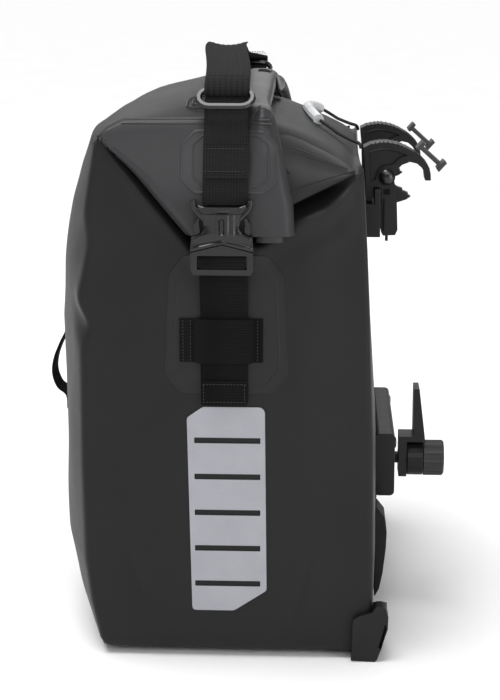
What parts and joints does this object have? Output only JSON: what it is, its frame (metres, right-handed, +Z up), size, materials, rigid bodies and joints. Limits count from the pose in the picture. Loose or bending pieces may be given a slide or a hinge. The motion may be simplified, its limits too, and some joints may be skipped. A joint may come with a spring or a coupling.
{
  "type": "pannier bag",
  "caption": "Roll-top pannier bag with latching rack hooks, turning lower hook, buckled side straps and carry handle.",
  "frame": {"origin": "centre of the bag's underside", "axes": "+X from the bag towards the bicycle rack, +Y along the bag's width, +Z up"},
  "size_m": [0.2757, 0.347, 0.3808],
  "materials": {
    "coated_fabric": "matt coated tarpaulin",
    "webbing": "ribbed webbing",
    "elastic_webbing": "ribbed elastic",
    "cord_sheath": "braided cord",
    "black_plastic": "satin moulded",
    "dark_grey_plastic": "satin moulded",
    "grey_plastic": "satin moulded",
    "rubber_pad": "matt",
    "reflective_film": "retroreflective film"
  },
  "bodies": {
    "bag": {"front_panel": "coated_fabric", "back_panel": "coated_fabric", "base_panel": "coated_fabric", "top_front_panel": "coated_fabric", "top_back_panel": "coated_fabric", "closure_roll": "coated_fabric", "carry_handle": "webbing", "light_loop": "webbing", "roll_tab": "webbing", "back_board": "black_plastic", "top_rail": "black_plastic", "lower_rail": "black_plastic", "side_panel_near": "coated_fabric", "ear_near": "coated_fabric", "rear_fold_near": "coated_fabric", "ear_patch_near": "coated_fabric", "strap_patch_near": "coated_fabric", "reflector_near": "reflective_film", "ear_strap_near": "webbing", "side_webbing_near": "webbing", "keeper_near": "elastic_webbing", "buckle_socket_near": "black_plastic", "corner_guard_near": "black_plastic", "bumper_pad_near": "rubber_pad", "side_panel_far": "coated_fabric", "ear_far": "coated_fabric", "rear_fold_far": "coated_fabric", "ear_patch_far": "coated_fabric", "strap_patch_far": "coated_fabric", "reflector_far": "reflective_film", "ear_strap_far": "webbing", "side_webbing_far": "webbing", "keeper_far": "elastic_webbing", "buckle_socket_far": "black_plastic", "corner_guard_far": "black_plastic", "bumper_pad_far": "rubber_pad"},
    "pull": {"pull_grip": "grey_plastic", "pull_cord_near": "cord_sheath", "pull_cord_far": "cord_sheath"},
    "lower_slider": {"lower_hook_bolt": "black_plastic"},
    "lower_arm": {"lower_hook_arm": "black_plastic", "lower_hook_spacer": "black_plastic"},
    "lower_knob": {"lower_hook_knob": "dark_grey_plastic"},
    "near_hook": {"hook_body_near": "black_plastic", "jaw_pin_near": "black_plastic", "tube_insert_near": "grey_plastic"},
    "near_jaw": {"jaw_near": "black_plastic"},
    "near_ring": {"ring_near": "black_plastic"},
    "near_blade": {"buckle_blade_near": "black_plastic"},
    "near_arm_front": {"squeeze_arm_near_front": "black_plastic"},
    "near_arm_rear": {"squeeze_arm_near_rear": "black_plastic"},
    "far_hook": {"hook_body_far": "black_plastic", "jaw_pin_far": "black_plastic", "tube_insert_far": "grey_plastic"},
    "far_jaw": {"jaw_far": "black_plastic"},
    "far_ring": {"ring_far": "black_plastic"},
    "far_blade": {"buckle_blade_far": "black_plastic"},
    "far_arm_front": {"squeeze_arm_far_front": "black_plastic"},
    "far_arm_rear": {"squeeze_arm_far_rear": "black_plastic"}
  },
  "joints": [
    {"name": "release_pull", "type": "slide", "parent": "bag", "child": "pull", "axis": [-0.6, 0, 0.8], "range_m": [0, 0.01], "stiffness_N_per_m": 600},
    {"name": "near_hook_slide", "type": "slide", "parent": "bag", "child": "near_hook", "axis": [0, 1, 0], "range_m": [-0.006, 0.03]},
    {"name": "near_jaw_turn", "type": "hinge", "parent": "near_hook", "child": "near_jaw", "pos_m": [0.0988, -0.065, 0.294], "axis": [0, 1, 0], "range_deg": [0, 24]},
    {"name": "near_ring_swing", "type": "hinge", "parent": "bag", "child": "near_ring", "pos_m": [0.0005, -0.1465, 0.354], "axis": [-1, 0, 0], "range_deg": [0, 120]},
    {"name": "near_buckle_release", "type": "slide", "parent": "bag", "child": "near_blade", "axis": [0, 0, -1], "range_m": [0, 0.022], "deforming": ["side_webbing_near"]},
    {"name": "near_rear_arm_squeeze", "type": "hinge", "parent": "near_blade", "child": "near_arm_rear", "pos_m": [0.0098, -0.169, 0.2634], "axis": [0, 1, 0], "range_deg": [-10, 0], "stiffness_Nm_per_rad": 0.05},
    {"name": "near_front_arm_squeeze", "type": "hinge", "parent": "near_blade", "child": "near_arm_front", "pos_m": [-0.0112, -0.169, 0.2634], "axis": [0, 1, 0], "range_deg": [0, 10], "stiffness_Nm_per_rad": 0.05},
    {"name": "far_hook_slide", "type": "slide", "parent": "bag", "child": "far_hook", "axis": [0, 1, 0], "range_m": [-0.03, 0.006]},
    {"name": "far_jaw_turn", "type": "hinge", "parent": "far_hook", "child": "far_jaw", "pos_m": [0.0988, 0.065, 0.294], "axis": [0, 1, 0], "range_deg": [0, 24]},
    {"name": "far_ring_swing", "type": "hinge", "parent": "bag", "child": "far_ring", "pos_m": [0.0005, 0.1465, 0.354], "axis": [1, 0, 0], "range_deg": [0, 120]},
    {"name": "far_buckle_release", "type": "slide", "parent": "bag", "child": "far_blade", "axis": [0, 0, -1], "range_m": [0, 0.022], "deforming": ["side_webbing_far"]},
    {"name": "far_rear_arm_squeeze", "type": "hinge", "parent": "far_blade", "child": "far_arm_rear", "pos_m": [0.0098, 0.169, 0.2634], "axis": [0, 1, 0], "range_deg": [-10, 0], "stiffness_Nm_per_rad": 0.05},
    {"name": "far_front_arm_squeeze", "type": "hinge", "parent": "far_blade", "child": "far_arm_front", "pos_m": [-0.0112, 0.169, 0.2634], "axis": [0, 1, 0], "range_deg": [0, 10], "stiffness_Nm_per_rad": 0.05},
    {"name": "lower_hook_slide", "type": "slide", "parent": "bag", "child": "lower_slider", "axis": [0, 1, 0], "range_m": [-0.012, 0.07]},
    {"name": "lower_hook_turn", "type": "hinge", "parent": "lower_slider", "child": "lower_arm", "pos_m": [0.1116, -0.03, 0.095], "axis": [1, 0, 0], "continuous": true},
    {"name": "knob_turn", "type": "hinge", "parent": "lower_arm", "child": "lower_knob", "pos_m": [0.1288, -0.03, 0.095], "axis": [1, 0, 0], "continuous": true}
  ],
  "couplings": [
    {"joint": "near_jaw_turn", "follows": "release_pull", "rad_per_m": 41.88},
    {"joint": "near_front_arm_squeeze", "follows": "near_rear_arm_squeeze", "ratio": -1},
    {"joint": "far_jaw_turn", "follows": "release_pull", "rad_per_m": 41.88},
    {"joint": "far_front_arm_squeeze", "follows": "far_rear_arm_squeeze", "ratio": -1}
  ]
}
